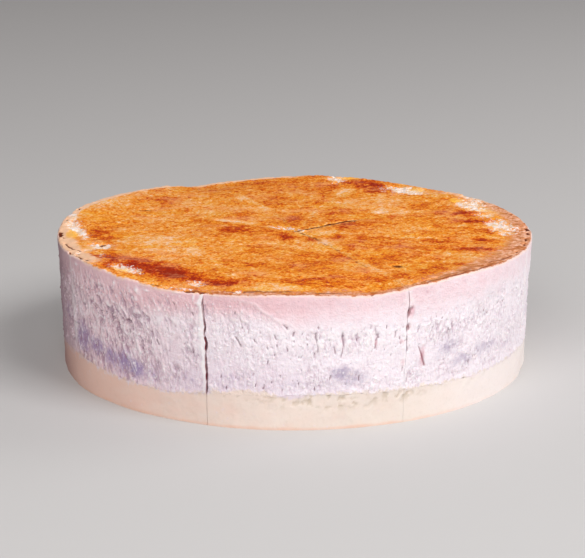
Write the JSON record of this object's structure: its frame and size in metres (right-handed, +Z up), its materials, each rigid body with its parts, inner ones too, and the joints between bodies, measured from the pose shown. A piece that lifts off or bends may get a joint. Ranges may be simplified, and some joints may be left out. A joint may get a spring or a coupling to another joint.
{
  "type": "purple yam cheesecake",
  "caption": "Whole round purple yam cheesecake with a browned top, on a sponge base, knife-cut into wedges that still stand together.",
  "frame": {"origin": "middle of the cake's underside, on the surface it stands on", "axes": "+Z up through the cake, -Y towards the side that faces the picture's camera, +X to the camera's right"},
  "size_m": [0.2005, 0.2001, 0.0567],
  "materials": {
    "yam batter": "moist matte, pale pink turning lilac lower down, browned to amber on top",
    "sponge base": "dry matte, cream to pale peach"
  },
  "bodies": {
    "root": {"yam_batter_front_left": "yam batter", "yam_batter_front": "yam batter", "yam_batter_front_right": "yam batter", "yam_batter_right": "yam batter", "yam_batter_back_right": "yam batter", "yam_batter_back": "yam batter", "yam_batter_back_left": "yam batter", "yam_batter_left": "yam batter", "sponge_base_front_left": "sponge base", "sponge_base_front": "sponge base", "sponge_base_front_right": "sponge base", "sponge_base_right": "sponge base", "sponge_base_back_right": "sponge base", "sponge_base_back": "sponge base", "sponge_base_back_left": "sponge base", "sponge_base_left": "sponge base"}
  },
  "joints": []
}
